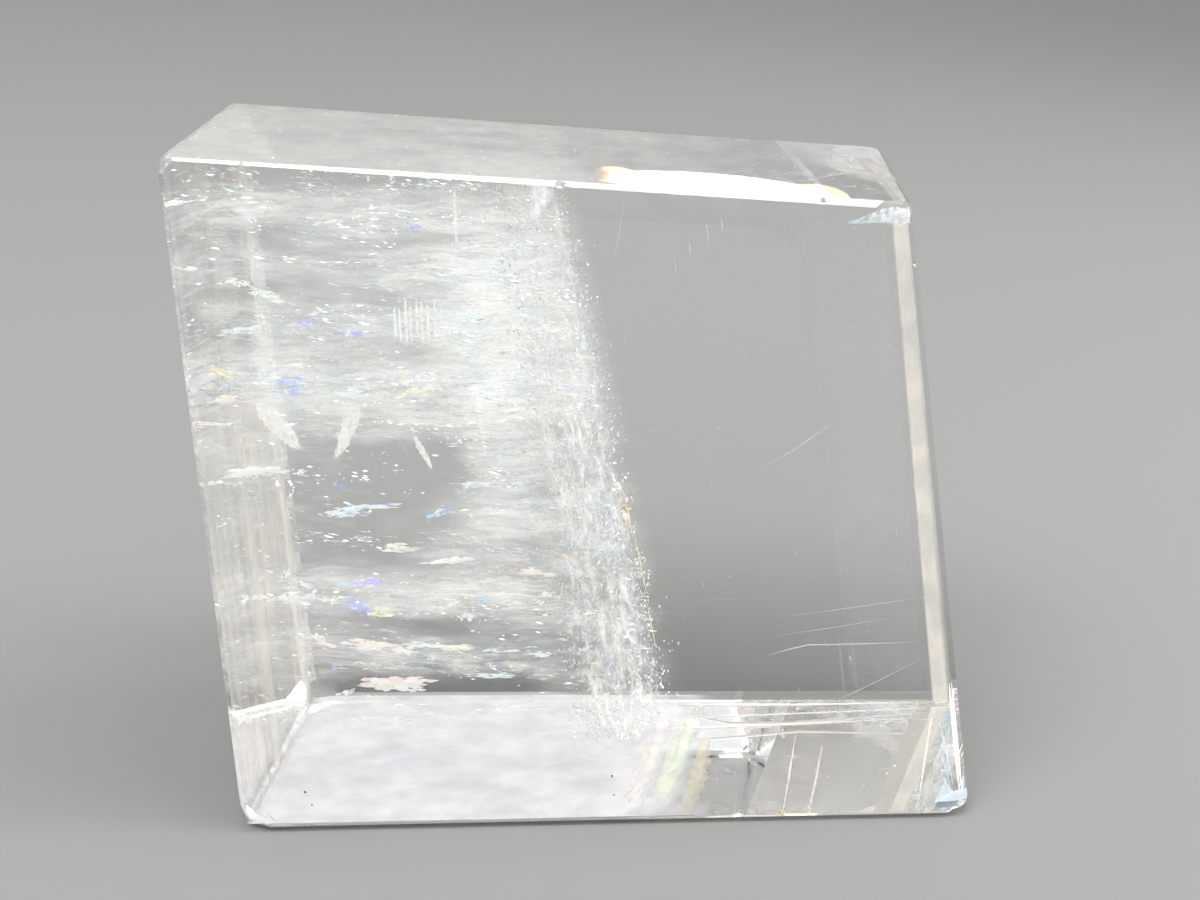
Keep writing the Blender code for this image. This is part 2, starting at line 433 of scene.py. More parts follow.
def add_sheet(name, place, cover, columns, rows, material):
    """A crack surface. place gives its point for two shares from 0 to 1, and cover how dense it is
    there; where it is clear, the sheet is open."""
    points, covers, faces = [], [], []
    for row in range(rows + 1):
        for column in range(columns + 1):
            u, v = column / columns, row / rows
            points.append(place(u, v))
            covers.append(max(0.0, min(1.0, cover(u, v))))
    for row in range(rows):
        for column in range(columns):
            first = row * (columns + 1) + column
            corners = (first, first + 1, first + columns + 2, first + columns + 1)
            dense = max(covers[corner] for corner in corners) > LEAST_COVER
            if dense and all(is_inside(points[corner], SHEET_GAP) for corner in corners):
                faces.append(corners)
    obj = add_mesh_object(name, points, faces, material)
    mesh = obj.data
    mesh.attributes.new("cover", "FLOAT", "POINT").data.foreach_set("value", covers)
    width = (place(1.0, 0.5) - place(0.0, 0.5)).length / CENTIMETRE
    height = (place(0.5, 1.0) - place(0.5, 0.0)).length / CENTIMETRE
    shift = 0.7 * (sum(name.encode()) % 97)
    pattern = mesh.uv_layers.new(name="pattern")
    for loop in mesh.loops:
        row, column = divmod(loop.vertex_index, columns + 1)
        pattern.data[loop.index].uv = (shift + width * column / columns, height * row / rows)
    drop_loose_points(mesh)
    mesh.shade_smooth()
    return keep(obj)


def drop_loose_points(mesh):
    work = bmesh.new()
    work.from_mesh(mesh)
    bmesh.ops.delete(work, geom=[vert for vert in work.verts if not vert.link_faces], context="VERTS")
    work.to_mesh(mesh)
    work.free()


def flake_tree():
    """A flat faceted flake on every point, with a random size, tilt and tint."""
    tree = bpy.data.node_groups.new("flake_on_each_point", "GeometryNodeTree")
    for name, kind in (
        ("Points", "NodeSocketGeometry"), ("Smallest", "NodeSocketVector"), ("Largest", "NodeSocketVector"),
        ("Lengthwise", "NodeSocketVector"), ("Facing", "NodeSocketVector"), ("Tilt", "NodeSocketVector"),
        ("Tint from", "NodeSocketFloat"), ("Tint to", "NodeSocketFloat"), ("Sides", "NodeSocketInt"),
        ("Seed", "NodeSocketInt"), ("Material", "NodeSocketMaterial"),
    ):
        tree.interface.new_socket(name, in_out="INPUT", socket_type=kind)
    tree.interface.new_socket("Flakes", in_out="OUTPUT", socket_type="NodeSocketGeometry")
    given = tree.nodes.new("NodeGroupInput").outputs
    result = tree.nodes.new("NodeGroupOutput").inputs["Flakes"]

    def seed(step):
        return add_node(tree, "ShaderNodeMath", {0: given["Seed"], 1: step}, operation="ADD").outputs[0]

    def random_float(step):
        node = add_node(tree, "FunctionNodeRandomValue", {"Seed": seed(step)}, data_type="FLOAT")
        return node.outputs[1]

    share = add_node(tree, "ShaderNodeMath", {0: random_float(1.0), 1: 2.6}, operation="POWER").outputs[0]
    size = add_node(
        tree, "ShaderNodeMix", {0: share, 4: given["Smallest"], 5: given["Largest"]}, data_type="VECTOR"
    )
    axes = add_node(
        tree, "FunctionNodeAxesToRotation", {0: given["Facing"], 1: given["Lengthwise"]},
        primary_axis="Z", secondary_axis="X",
    )
    swing = add_node(
        tree, "FunctionNodeRandomValue",
        {0: (-1.0, -1.0, -1.0), 1: (1.0, 1.0, 1.0), "Seed": seed(2.0)}, data_type="FLOAT_VECTOR",
    )
    angles = add_node(
        tree, "ShaderNodeVectorMath", {0: swing.outputs[0], 1: given["Tilt"]}, operation="MULTIPLY"
    ).outputs[0]
    turned = add_node(
        tree, "FunctionNodeRotateRotation", {0: axes.outputs[0], 1: angles}, rotation_space="LOCAL"
    )
    flake = add_node(
        tree, "GeometryNodeMeshUVSphere", {"Segments": given["Sides"], "Rings": 2, "Radius": 1.0}
    )
    placed = add_node(tree, "GeometryNodeInstanceOnPoints", {
        "Points": given["Points"], "Instance": flake.outputs["Mesh"], "Rotation": turned.outputs[0],
        "Scale": size.outputs[1],
    })
    tint_span = add_node(tree, "ShaderNodeMapRange", {
        "Value": random_float(3.0), "To Min": given["Tint from"], "To Max": given["Tint to"],
    })
    tinted = add_node(tree, "GeometryNodeStoreNamedAttribute", {
        "Geometry": placed.outputs["Instances"], "Name": "tint", "Value": tint_span.outputs["Result"],
    }, data_type="FLOAT", domain="INSTANCE")
    real = add_node(tree, "GeometryNodeRealizeInstances", {"Geometry": tinted.outputs["Geometry"]})
    finished = add_node(
        tree, "GeometryNodeSetMaterial",
        {"Geometry": real.outputs["Geometry"], "Material": given["Material"]},
    )
    tree.links.new(finished.outputs["Geometry"], result)
    return tree


FLAKES = flake_tree()


def add_flakes(name, points, material, seed, smallest, largest, lengthwise=ALONG, facing=-DEEP,
               tilt=(math.pi, math.pi, math.pi), tints=(0.0, 0.2), sides=4):
    """A flake on each point; sizes are half lengths, half widths and half thicknesses in mm."""
    obj = add_mesh_object(name, points, [], material)
    modifier = obj.modifiers.new("flakes", "NODES")
    modifier.node_group = FLAKES
    values = {
        "Smallest": [MM * size for size in smallest], "Largest": [MM * size for size in largest],
        "Lengthwise": tuple(lengthwise), "Facing": tuple(facing), "Tilt": tilt,
        "Tint from": tints[0], "Tint to": tints[1], "Sides": sides, "Seed": seed, "Material": material,
    }
    for item in FLAKES.interface.items_tree:
        if item.in_out == "INPUT" and item.name in values:
            modifier[item.identifier] = values[item.name]
    settle(obj)
    obj.data.materials.clear()
    obj.data.materials.append(material)
    obj.data.polygons.foreach_set("material_index", [0] * len(obj.data.polygons))
    return keep(obj)


def add_plates(name, plates, material, thickness):
    """Thin flat plates, each given as (points, tint)."""
    points, faces, tints = [], [], []
    for outline, tint in plates:
        faces.append(range(len(points), len(points) + len(outline)))
        points.extend(outline)
        tints.extend([tint] * len(outline))
    obj = add_mesh_object(name, points, faces, material)
    obj.data.attributes.new("tint", "FLOAT", "POINT").data.foreach_set("value", tints)
    return keep(thicken(obj, thickness))


def add_lines(name, lines, material, tint=0.06):
    """Thin lines with pointed ends, each given as (points, half width), all of one tint."""
    curve = bpy.data.curves.new(name, "CURVE")
    curve.dimensions = "3D"
    curve.bevel_depth = 1.0
    curve.bevel_resolution = 0
    curve.use_fill_caps = True
    for points, half_width in lines:
        spline = curve.splines.new("POLY")
        spline.points.add(len(points) - 1)
        for index, point in enumerate(points):
            share = index / (len(points) - 1)
            spline.points[index].co = (*point, 1.0)
            spline.points[index].radius = half_width * (0.12 + 0.88 * math.sin(math.pi * share) ** 0.6)
    guide = bpy.data.objects.new(name + "_guide", curve)
    bpy.context.scene.collection.objects.link(guide)
    mesh = bpy.data.meshes.new_from_object(guide.evaluated_get(bpy.context.evaluated_depsgraph_get()))
    bpy.data.objects.remove(guide)
    mesh.name = name
    tints = mesh.attributes.new("tint", "FLOAT", "POINT")
    tints.data.foreach_set("value", [tint] * len(mesh.vertices))
    mesh.materials.clear()
    mesh.materials.append(material)
    obj = bpy.data.objects.new(name, mesh)
    bpy.context.scene.collection.objects.link(obj)
    return keep(obj)


# The cloudy left part, in the photograph's pixels.

CLOUD_RIGHT_EDGE = ((560, 190), (672, 720))
CLOUD_TOP, CLOUD_FOOT = 160.0, 706.0
# Patches of the haze: centre, half width and half height, and how much denser (or clearer) it is.
HAZE_PATCHES = (
    (340, 195, 200, 26, 0.16), (494, 330, 48, 100, 0.90), (180, 260, 26, 70, 0.16),
    (500, 470, 35, 80, 0.20), (272, 238, 38, 12, -0.36), (290, 287, 50, 14, -0.34),
    (424, 238, 36, 9, -0.22), (430, 352, 30, 14, -0.25), (240, 372, 60, 16, 0.38),
    (290, 384, 40, 10, 0.30), (420, 382, 55, 9, 0.34), (340, 405, 90, 12, 0.22),
    (235, 470, 48, 9, 0.36), (365, 478, 85, 30, -0.60), (340, 540, 70, 26, -0.50),
    (450, 450, 40, 22, -0.22), (500, 540, 60, 40, 0.12), (370, 598, 110, 12, 0.34),
    (470, 590, 60, 16, 0.26), (380, 650, 110, 12, 0.20), (400, 622, 90, 8, -0.14),
    (440, 688, 100, 14, -0.26), (250, 600, 40, 60, 0.08), (185, 420, 20, 60, -0.12),
)
# How dense the haze is without patches, above and below where it changes, and its right fringe.
HAZE_BASE_TOP, HAZE_BASE_FOOT = 0.34, 0.20
HAZE_CHANGE = (395.0, 450.0)
HAZE_FRINGE = (24.0, -30.0)
# Each veil's depth and strength.
VEILS = ((0.14, 0.75), (0.42, 0.95), (0.74, 1.15))


def smooth(low, high, value):
    share = max(0.0, min(1.0, (value - low) / (high - low)))
    return share * share * (3.0 - 2.0 * share)


def haze(x, y, drift=0.0):
    """How cloudy the left part is at a pixel."""
    dense = drift + HAZE_BASE_TOP + (HAZE_BASE_FOOT - HAZE_BASE_TOP) * smooth(*HAZE_CHANGE, y)
    for centre_x, centre_y, half_width, half_height, amount in HAZE_PATCHES:
        away = ((x - centre_x) / half_width) ** 2 + ((y - centre_y) / half_height) ** 2
        dense += amount * math.exp(-away)
    return dense * smooth(*HAZE_FRINGE, x - between(CLOUD_RIGHT_EDGE, y))


def add_veils():
    """Wispy cleavage veils, one behind the other, each gently waved."""
    material = veil_finish("silvery_veil")
    for number, (depth, strength) in enumerate(VEILS, start=1):
        left = 4.0 + 84.0 * depth
        low, high = CLOUD_TOP + 6.0 + 30.0 * depth, CLOUD_FOOT + 95.0 * (1.0 - depth)

        def pixel(u, v):
            y = low + (high - low) * v
            start = between(FRONT_LEFT_EDGE, y) + left
            return start + (between(CLOUD_RIGHT_EDGE, y) + 20.0 - start) * u, y

        def place(u, v):
            x, y = pixel(u, v)
            wave = noise.noise(Vector((x / 150.0, y / 60.0, 3.0 * number)))
            return seen_at((x, y), depth + 0.07 * wave)

        def cover(u, v):
            x, y = pixel(u, v)
            drift = noise.fractal(Vector((x / 95.0, y / 26.0, 11.0 * number)), 0.8, 2.1, 4)
            edge = smooth(0.0, 0.05, u) * smooth(0.0, 0.05, v) * smooth(1.0, 0.9, v)
            return strength * edge * haze(x, y, 0.40 * drift)

        add_sheet(f"cleavage_veil_{number}", place, cover, 76, 92, material)


def cloud_points(count, seed, fineness, threshold):
    """Points in the cloudy part, more where the haze is dense, drawn out in level streaks."""
    chance = np.random.default_rng(seed)
    points = []
    while len(points) < count:
        y = chance.uniform(CLOUD_TOP + 8.0, CLOUD_FOOT + 20.0)
        x = chance.uniform(between(FRONT_LEFT_EDGE, y) + 4.0, between(CLOUD_RIGHT_EDGE, y))
        streak = noise.noise(Vector((x / fineness / 5.0, y / fineness, seed * 1.7)))
        if chance.random() > haze(x, y) * (streak - threshold) * 2.5:
            continue
        point = seen_at((x, y), chance.uniform(0.04, 0.95))
        if is_inside(point):
            points.append(point)
    return points


def add_cloud_flakes():
    """Small cleavage flakes in the cloudy part: silver, milky, white and tinted ones; the white ones glow
    as painted sparkle. Each kind has its finish, count, seed, the fineness and threshold of its streaks,
    its smallest and largest half sizes in mm, and its tints."""
    streaky = (1.1, 0.25, 0.20)
    for name, finish, count, seed, fineness, threshold, smallest, largest, tints in (
        ("silver_flakes", SILVER, 3600, 11, 13.0, 0.02, (0.03, 0.02), (0.55, 0.09), (0.0, 0.16)),
        ("milky_flakes", MILKY, 4200, 12, 18.0, -0.10, (0.03, 0.02), (0.60, 0.07), (0.0, 0.20)),
        ("cloud_sparks", PAINTED_SPARK, 1300, 14, 16.0, 0.08, (0.02, 0.014), (0.32, 0.08), (0.02, 0.14)),
        ("tinted_flakes", FLASH, 260, 13, 22.0, 0.10, (0.06, 0.03), (0.40, 0.12), (0.25, 1.0)),
    ):
        points = cloud_points(count, seed, fineness, threshold)
        add_flakes(name, points, finish, seed + 10, (*smallest, 0.006), (*largest, 0.012),
                   tilt=streaky, tints=tints)


# The granular curtain between the cloudy and the clear part: its front and back lines in pixels.

CURTAIN_FRONT = ((498, 186), (578, 716))
CURTAIN_BACK = ((562, 190), (668, 712))


def curtain_point(across, y, off=0.0):
    """A point of the curtain: across from its front line to its back line, at a pixel's height."""
    x = between(CURTAIN_FRONT, y) + (between(CURTAIN_BACK, y) - between(CURTAIN_FRONT, y)) * across
    return seen_at((x + off, y), 0.05 + 0.90 * across)


def add_curtain():
    """The curtain's milky sheet and what lies along it: grains, silver flakes, sparks, and beads
    near its back line. Each kind has its count, its spread in pixels and its lean to the back."""

    def place(u, v):
        y = 180.0 + 560.0 * v
        return curtain_point(u, y, 3.0 * noise.noise(Vector((6.0 * u, y / 30.0, 5.0))))

    def cover(u, v):
        patchy = noise.fractal(Vector((5.0 * u, 14.0 * v, 2.0)), 0.9, 2.0, 4)
        return (0.62 + 0.5 * patchy) * smooth(0.0, 0.2, u) * smooth(1.0, 0.86, u) * smooth(0.0, 0.06, v)

    add_sheet("milky_curtain", place, cover, 30, 120, veil_finish("granular_milk"))
    chance = np.random.default_rng(31)
    kinds = (
        ("grains", 5600, 10.0, 0.9), ("silver", 1300, 9.0, 1.4), ("sparks", 650, 8.0, 1.6),
        ("beads", 190, 5.0, 5.0),
    )
    points = {}
    for kind, goal, spread, edge in kinds:
        points[kind] = []
        while len(points[kind]) < goal:
            across = chance.random() ** (1.0 / edge)
            y = chance.uniform(184.0, 740.0)
            clump = noise.noise(Vector((across * 7.0, y / 16.0, goal)))
            if chance.random() > 0.55 + 0.9 * clump:
                continue
            point = curtain_point(across, y, chance.normal(0.0, spread))
            if is_inside(point):
                points[kind].append(point)
    add_flakes("curtain_grains", points["grains"], MILKY, 32, (0.04, 0.03, 0.02), (0.20, 0.11, 0.08),
               lengthwise=HIGH, tilt=(0.3, 0.5, 0.3))
    add_flakes("curtain_silver", points["silver"], SILVER, 33, (0.04, 0.03, 0.01), (0.24, 0.16, 0.03))
    # The sparks glow with painted sparkle.
    add_flakes("curtain_sparks", points["sparks"], PAINTED_SPARK, 35, (0.015, 0.015, 0.01), (0.14, 0.09, 0.04),
               tints=(0.02, 0.16))
    add_flakes("curtain_beads", points["beads"], SILVER, 34, (0.10, 0.10, 0.10), (0.28, 0.22, 0.24),
               tints=(0.0, 0.1), sides=8)


# Single cracks, flashes and marks. Each place is a pixel of the photograph, and its depth a share.

# Torn cleavage plates: centre, half length and half height in pixels, slope, depth, tint.
TORN_PLATES = (
    (399, 683, 33, 8, 0.03, 0.30, 0.24), (322, 642, 14, 5, 0.45, 0.35, 0.26),
    (372, 645, 26, 6, 0.12, 0.42, 0.24), (406, 652, 14, 6, 0.10, 0.43, 0.20),
    (432, 646, 40, 2.4, 0.02, 0.45, 0.12), (459, 648, 14, 3.4, 0.02, 0.44, 0.42),
    (431, 656, 6, 4.5, 0.0, 0.45, 0.68), (512, 651, 18, 2.0, 0.0, 0.55, 0.06),
    (541, 654, 14, 3.4, 0.0, 0.55, 0.05), (492, 675, 23, 2.8, -0.02, 0.50, 0.06),
    (491, 664, 5, 3.0, 0.0, 0.50, 0.06), (515, 666, 8, 4.0, 0.0, 0.50, 0.54),
    (346, 693, 8, 4.0, -0.30, 0.40, 0.08), (372, 697, 9, 4.0, 0.1, 0.40, 0.18),
    (361, 607, 12, 9, 0.05, 0.50, 0.90), (379, 611, 13, 7, 0.10, 0.49, 0.45),
    (369, 582, 17, 7, -0.10, 0.50, 0.95), (345, 584, 12, 3, -0.05, 0.50, 0.70),
    (344, 512, 20, 6, -0.12, 0.45, 0.05), (370, 507, 32, 2.6, -0.03, 0.45, 0.05),
    (438, 513, 13, 5, -0.30, 0.55, 0.78), (476, 484, 20, 3.5, 0.0, 0.55, 0.02),
    (252, 471, 32, 6, -0.06, 0.12, 0.14), (300, 473, 10, 4, 0.0, 0.20, 0.10),
    (216, 483, 14, 3, -0.05, 0.06, 0.16), (533, 572, 18, 4.5, 0.0, 0.50, 0.28),
    (247, 597, 7, 4.5, 0.0, 0.15, 0.06), (264, 598, 10, 4, 0.0, 0.20, 0.10),
    (287, 598, 12, 4.5, -0.25, 0.28, 0.08), (312, 595, 6, 8, 0.0, 0.30, 0.06),
    (331, 599, 15, 3.0, 0.0, 0.34, 0.10), (286, 575, 7, 4, -0.2, 0.30, 0.10),
    (304, 585, 10, 3, 0.5, 0.30, 0.06), (484, 600, 8, 5, 0.0, 0.50, 0.74),
    (466, 616, 9, 6, 0.0, 0.52, 0.06), (452, 602, 7, 5, 0.1, 0.52, 0.12),
    (545, 595, 7, 6, -0.5, 0.60, 0.04), (306, 324, 10, 5, 0.0, 0.40, 0.95),
    (352, 333, 14, 5, 0.0, 0.40, 0.87), (413, 228, 7, 5, 0.0, 0.40, 0.88),
    (222, 372, 15, 4, 0.22, 0.14, 0.39), (226, 400, 20, 4, -0.05, 0.15, 0.33),
    (292, 382, 18, 5, 0.10, 0.35, 0.80), (268, 376, 16, 4, 0.15, 0.33, 0.06),
    (292, 392, 12, 3, 0.0, 0.35, 0.86), (263, 360, 11, 5, 0.0, 0.30, 0.31),
    (418, 390, 22, 6, -0.14, 0.40, 0.38), (404, 379, 7, 4, 0.0, 0.40, 0.42),
    (241, 330, 19, 4, -0.08, 0.20, 0.06), (178, 202, 18, 3, -0.12, 0.05, 0.10),
    (184, 268, 18, 2, 0.06, 0.06, 0.12), (240, 284, 14, 4, 0.18, 0.20, 0.10),
    (272, 297, 20, 4, 0.32, 0.25, 0.12), (352, 392, 20, 5, 0.05, 0.40, 0.08),
    (338, 200, 8, 2.5, 0.0, 0.40, 0.06), (330, 222, 14, 3, -0.12, 0.40, 0.08),
    (250, 218, 8, 4, 0.2, 0.3, 0.06), (212, 425, 22, 3, 0.02, 0.07, 0.18),
    (226, 710, 10, 5, 0.1, 0.12, 0.12), (246, 720, 8, 7, 0.0, 0.14, 0.16),
    (298, 709, 12, 5, -0.2, 0.25, 0.14), (450, 560, 26, 4, -0.12, 0.60, 0.16),
    (402, 548, 18, 5, 0.05, 0.60, 0.36), (626, 516, 5, 13, 0.0, 0.85, 0.50),
)
# Satin blades: pixels down the middle of each, half widths in pixels, and depths at its two ends.
# First the two curls, the spike and the upright line.
SATIN_BLADES = (
    (((256, 402), (266, 412), (278, 425), (290, 438), (303, 451)), (3, 8, 9, 7, 1), 0.26, 0.42),
    (((349, 401), (352, 413), (348, 429), (342, 446), (334, 461)), (11, 9, 7, 5, 1), 0.36, 0.48),
    (((475, 383), (479, 410), (483, 436), (486, 462)), (3.6, 3.0, 2.0, 0.4), 0.50, 0.56),
    (((454, 190), (455, 210), (456, 230), (457, 252)), (1.2, 1.8, 1.6, 0.5), 0.50, 0.50),
    (((414, 436), (420, 447), (427, 459), (433, 471)), (1.5, 3.0, 2.5, 0.5), 0.45, 0.50),
    (((368, 175), (368, 178), (369, 182)), (1.0, 1.4, 0.8), 0.30, 0.30),
    (((391, 171), (391, 176), (391, 181)), (1.0, 2.0, 0.6), 0.30, 0.30),
)
# The comb of ribs: where each stands, and from where to where it reaches.
RIBS = (394, 399, 405, 410, 416, 421, 427, 434, 441)
RIB_SPAN = (302, 344)
# The half disc under the top edge, near the front face, as a blade.
HALF_DISC = ((541, 185), (541, 196), (538, 208), (532, 221)), (11, 10, 6, 0.6), 0.02, 0.05
# The chipped strip in the upper right corner, as blades too.
CHIPPED_BLADES = (
    (((846, 223), (862, 220), (878, 217), (894, 216), (908, 216), (921, 220)),
     (0.6, 3, 5, 7, 8, 6), 0.010, 0.035),
    (((866, 223), (878, 218), (890, 219), (902, 221)), (0.6, 4, 4, 3), 0.020, 0.050),
    (((893, 212), (905, 214), (919, 221)), (2, 5, 4), 0.012, 0.030),
)
# Scratches on the front face: pixels along each, and its half width in mm.
SCRATCHES = (
    (((768, 655), (790, 649), (808, 645), (860, 644), (918, 642)), 0.055),
    (((833, 702), (855, 692), (880, 680), (925, 657)), 0.035),
    (((760, 470), (800, 446), (840, 418)), 0.040), (((780, 617), (850, 608), (925, 597)), 0.030),
    (((775, 636), (830, 628), (890, 618)), 0.025), (((624, 200), (620, 230), (612, 272)), 0.022),
    (((265, 810), (272, 818), (278, 825)), 0.05), (((742, 753), (750, 762), (757, 765)), 0.060),
    (((718, 762), (728, 770), (736, 774)), 0.03), (((880, 345), (888, 347), (896, 353)), 0.035),
    (((706, 222), (708, 234), (709, 247)), 0.045), (((721, 217), (722, 224), (722, 231)), 0.060),
    (((674, 258), (676, 268), (675, 278)), 0.045), (((689, 240), (690, 248), (690, 258)), 0.060),
    (((714, 427), (721, 430), (720, 437)), 0.03),
)
# Two dashes on the top, and rust-brown specks inside.
TOP_DASHES = (((840, 186), (848, 186), (857, 187)), ((862, 188), (871, 189), (880, 190)))
BROWN_SPECKS = (
    (305, 792), (312, 805), (500, 338), (503, 353), (614, 795), (612, 776), (624, 508), (524, 452),
)
# How many specks of wear lie on the top, each glowing as a painted spark, and how much dust and how many
# needles in the clear part.
TOP_SPECKS, DUST, NEEDLES = 620, 520, 60
# The back lower edge, doubled by the crystal: pixels along each image, half width in mm, tint.
EDGE_IMAGES = (
    (((672, 705), (730, 705), (790, 705), (930, 702)), 0.16, 0.27),
    (((688, 718), (760, 715), (860, 711), (956, 707)), 0.08, 0.03),
    (((640, 729), (700, 728), (800, 724), (905, 719)), 0.13, 0.22),
)
# The pale band beside the right edge: its left side from top to foot, its width, and its depth.
RIGHT_BAND = ((891, 214), (932, 702))
RIGHT_BAND_WIDTH = 34.0
RIGHT_BAND_DEPTH = 0.93
# The doubled lines and glints in the lower right corner, and the streaks and sparks beside them.
CORNER_IMAGES = (
    (((935, 708), (930, 725), (924, 765), (917, 810)), 0.09, 0.16),
    (((939, 720), (946, 750), (953, 785)), 0.10, 0.0),
)
CORNER_IMAGE_PLATES = (
    ((943, 713), (952, 710), (959, 718), (957, 738), (949, 733)),
    ((935, 802), (945, 779), (953, 792), (963, 788), (964, 800)),
)
BASE_STREAKS = (
    (((796, 732), (790, 770), (783, 811)), 0.07, 0.30),
    (((822, 746), (816, 778), (809, 808)), 0.07, 0.31),
)
BASE_SPARKS = ((783, 812), (809, 807))
# Coloured gleams just above the base: pixels down the middle, and half widths.
GLEAMS = (
    ("green_gleam", ((692, 716), (676, 760), (652, 814)), (7, 10, 8)),
    ("olive_gleam", ((707, 736), (698, 775), (684, 812)), (5, 8, 7)),
    ("rosy_gleam", ((664, 718), (650, 760), (628, 814)), (6, 9, 8)),
)
# The ochre line along the curtain's back edge, in three parts: top, foot and shift in pixels.
CURTAIN_EDGE_PARTS = ((478, 540, 0.5), (534, 596, 2.5), (600, 652, 1.0))
# The painted highlight along the facet between the front and the right face: along, deep, and heights.
FACET_HIGHLIGHT_PLACE = (0.988, 0.03)
FACET_HIGHLIGHT_HEIGHTS = (0.03, 0.08, 0.13, 0.18, 0.215)


def torn_outline(x, y, half_length, half_height, slope, chance, steps):
    """The pixels round a plate with pointed ends and torn long sides."""
    upper, lower = [], []
    for step in range(1, steps):
        share = step / steps
        swell = half_height * math.sin(math.pi * share) ** 0.5
        for side, line in ((-1.0, upper), (1.0, lower)):
            across = half_length * (2.0 * share - 1.0 + chance.uniform(-0.6, 0.6) / steps)
            line.append((x + across, y + slope * across + side * swell * chance.uniform(0.25, 1.0)))
    left = (x - half_length, y - slope * half_length)
    right = (x + half_length, y + slope * half_length)
    return [left, *upper, right, *reversed(lower)]


def add_flash_plates():
    """The larger cleavage flashes: each a torn plate broken up into slivers."""
    chance = np.random.default_rng(41)
    plates = []
    for x, y, half_length, half_height, slope, deep, tint in TORN_PLATES:
        for _ in range(int(9 + 0.20 * half_length * half_height)):
            across = half_length * max(-1.0, min(1.0, chance.normal(0.0, 0.45)))
            rise = half_height * chance.normal(0.0, 0.42)
            length = half_length * chance.uniform(0.10, 0.42)
            height = chance.uniform(0.5, 0.30 * half_height + 0.6)
            lean = slope + chance.normal(0.0, 0.05)
            outline = torn_outline(x + across, y + slope * across + rise, length, height, lean, chance, 5)
            depth = max(0.02, deep + chance.normal(0.0, 0.02))
            pale = tint if chance.random() < 0.72 else min(tint, 0.10)
            color = min(1.0, max(0.0, pale + chance.normal(0.0, 0.035)))
            plates.append(([seen_within(pixel, depth) for pixel in outline], color))
    add_plates("flash_slivers", plates, FLASH, 0.02 * MM)


def add_blade(name, spine, widths, depth_from, depth_to, material, strength=2.2):
    """A narrow sheet along pixels, soft at its sides."""

    def spread(share, values):
        return float(np.interp(share, np.linspace(0.0, 1.0, len(values)), values))

    def place(u, v):
        x, y = spread(u, [point[0] for point in spine]), spread(u, [point[1] for point in spine])
        run_x, run_y = spine[-1][0] - spine[0][0], spine[-1][1] - spine[0][1]
        torn = 1.25 + 0.55 * noise.noise(Vector((9.0 * u, 3.0 * round(v), x)))
        reach = torn * spread(u, widths) * (2.0 * v - 1.0) / math.hypot(run_x, run_y)
        return seen_within((x - run_y * reach, y + run_x * reach), depth_from + (depth_to - depth_from) * u)

    def cover(u, v):
        return strength * math.sin(math.pi * v) ** 0.7 * smooth(0.0, 0.04, u) * smooth(1.0, 0.8, u)

    add_sheet(name, place, cover, 24, 8, material)


def add_blades():
    """The satin curls and spikes, the half disc, the comb of ribs and the chipped strip."""
    satin = veil_finish("satin_blade")
    chipped = veil_finish("chipped_blade")
    for number, (spine, widths, depth_from, depth_to) in enumerate(SATIN_BLADES, start=1):
        add_blade(f"satin_blade_{number}", spine, widths, depth_from, depth_to, satin)
    add_blade("half_disc", *HALF_DISC, satin, 0.9)
    chance = np.random.default_rng(42)
    for number, x in enumerate(RIBS, start=1):
        top, foot = RIB_SPAN[0] + chance.uniform(-7.0, 7.0), RIB_SPAN[1] + chance.uniform(-8.0, 4.0)
        middle = (top + foot) / 2.0
        add_blade(f"comb_rib_{number}", ((x, top), (x + 1.0, middle), (x + 2.5, foot)), (0.8, 2.0, 1.4),
                  0.46, 0.47, satin, 0.9)
    for number, (spine, widths, depth_from, depth_to) in enumerate(CHIPPED_BLADES, start=1):
        add_blade(f"chipped_blade_{number}", spine, widths, depth_from, depth_to, chipped)


def add_marks():
    """Scratches, dashes, specks and dust."""
    lines = [([seen_at(pixel, 0.006) for pixel in pixels], width * MM) for pixels, width in SCRATCHES]
    lines += [([seen_on_top(pixel, 0.12 * MM) for pixel in pixels], 0.08 * MM) for pixels in TOP_DASHES]
    add_lines("scratches", lines, MILKY)
    add_flakes("brown_specks", [seen_within(pixel, 0.35) for pixel in BROWN_SPECKS], RUSTY, 51,
               (0.14, 0.10, 0.06), (0.26, 0.16, 0.10), tilt=(0.4, 0.4, 3.1))
    chance = np.random.default_rng(52)
    on_top = []
    while len(on_top) < TOP_SPECKS:
        along, deep = chance.uniform(0.01, 0.99), chance.uniform(0.03, 0.97)
        if chance.random() < 1.0 - 0.65 * along:
            on_top.append(inside(along, deep, 0.9985 - chance.uniform(0.0, 0.006)))
    # The specks of wear glow as painted sparks.
    add_flakes("top_specks", on_top, PAINTED_SPARK, 53, (0.03, 0.025, 0.008), (0.20, 0.09, 0.02),
               facing=TOP_NORMAL, tilt=(0.2, 0.2, 3.1))
    dust = [inside(chance.uniform(0.52, 0.985), chance.uniform(0.03, 0.97), chance.uniform(0.02, 0.98))
            for _ in range(DUST)]
    add_flakes("fine_dust", dust, MILKY, 54, (0.012, 0.010, 0.006), (0.07, 0.035, 0.012))
    needles = [inside(chance.uniform(0.5, 0.95), 0.01, chance.uniform(0.1, 0.97))
               for _ in range(NEEDLES)]
    add_flakes("fine_needles", needles, MILKY, 55, (0.06, 0.008, 0.006), (0.5, 0.016, 0.008),
               lengthwise=HIGH, tilt=(0.0, 0.0, 0.25))


